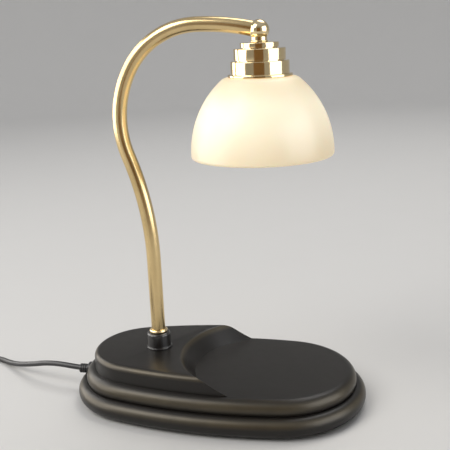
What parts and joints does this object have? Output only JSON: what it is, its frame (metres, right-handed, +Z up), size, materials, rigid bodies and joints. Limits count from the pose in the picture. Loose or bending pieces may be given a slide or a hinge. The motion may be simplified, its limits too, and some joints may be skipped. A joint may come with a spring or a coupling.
{
  "type": "candle warmer lamp",
  "caption": "Candle warmer lamp: weighted oval base with a round tray, a bent brass arm and a frosted glass shade over a twist-lock reflector bulb.",
  "frame": {"origin": "middle of the base's footprint, on the surface it stands on, measured without the cord", "axes": "+Z up, +X along the base from the narrow end with the arm to the wide end with the tray, so the lamp's front view looks along +Y"},
  "size_m": [0.3456, 0.2038, 0.2631],
  "materials": {
    "base_lacquer": "satin dark bronze-black",
    "plate_steel": "black powder coat",
    "weight_iron": "as cast",
    "zinc_steel": "zinc plated",
    "foot_rubber": "matt",
    "collar_black": "satin black",
    "arm_brass": "satin, antique",
    "cap_brass": "polished",
    "shade_glass": "frosted opal",
    "gasket_fibre": "matt",
    "holder_ceramic": "glazed ceramic",
    "contact_brass": "plain",
    "reflector_glass": "mirror coated",
    "lens_glass": "clear",
    "lead_pvc": "matt",
    "block_nylon": "matt",
    "cord_black": "soft sheen",
    "switch_black": "fine texture"
  },
  "bodies": {
    "lamp": {"base_shell": "base_lacquer", "base_plate": "plate_steel", "base_screws": "zinc_steel", "counterweight_screws": "zinc_steel", "counterweight": "weight_iron", "rubber_feet": "foot_rubber", "arm_tube": "arm_brass", "arm_collar": "collar_black", "arm_ferrule": "cap_brass", "arm_nipple": "zinc_steel", "arm_washer": "zinc_steel", "arm_nut": "zinc_steel", "ball_knuckle": "cap_brass", "fitter_cap": "cap_brass", "fitter_skirt": "cap_brass", "shade": "shade_glass", "shade_gasket": "gasket_fibre", "shade_ring": "zinc_steel", "socket_strap": "zinc_steel", "head_nut": "zinc_steel", "head_nipple": "zinc_steel", "socket_body": "holder_ceramic", "socket_contacts": "contact_brass", "socket_screws": "zinc_steel", "terminal_block": "block_nylon", "terminal_screws": "contact_brass", "arm_leads": "lead_pvc", "cord_bushing": "cord_black", "lamp_cord": "cord_black", "cord_coil": "cord_black", "lead_cord": "cord_black", "plug_cord": "cord_black", "switch_lower_shell": "switch_black", "switch_upper_shell": "switch_black", "switch_contacts": "contact_brass", "switch_screw": "zinc_steel", "plug_body": "cord_black", "plug_blades": "contact_brass"},
    "bulb": {"bulb_base": "holder_ceramic", "bulb_pins": "zinc_steel", "bulb_reflector": "reflector_glass", "bulb_lens": "lens_glass", "bulb_capsule": "lens_glass"},
    "rocker": {"switch_rocker": "switch_black"}
  },
  "joints": [
    {"name": "bulb_twist", "type": "hinge", "parent": "lamp", "child": "bulb", "pos_m": [0.036, 0, 0.2167], "axis": [0, 0, 1], "range_deg": [0, 20]},
    {"name": "switch_rock", "type": "hinge", "parent": "lamp", "child": "rocker", "pos_m": [-0.2314, -0.0421, 0.0147], "axis": [1, 0, 0], "range_deg": [0, 14]}
  ]
}
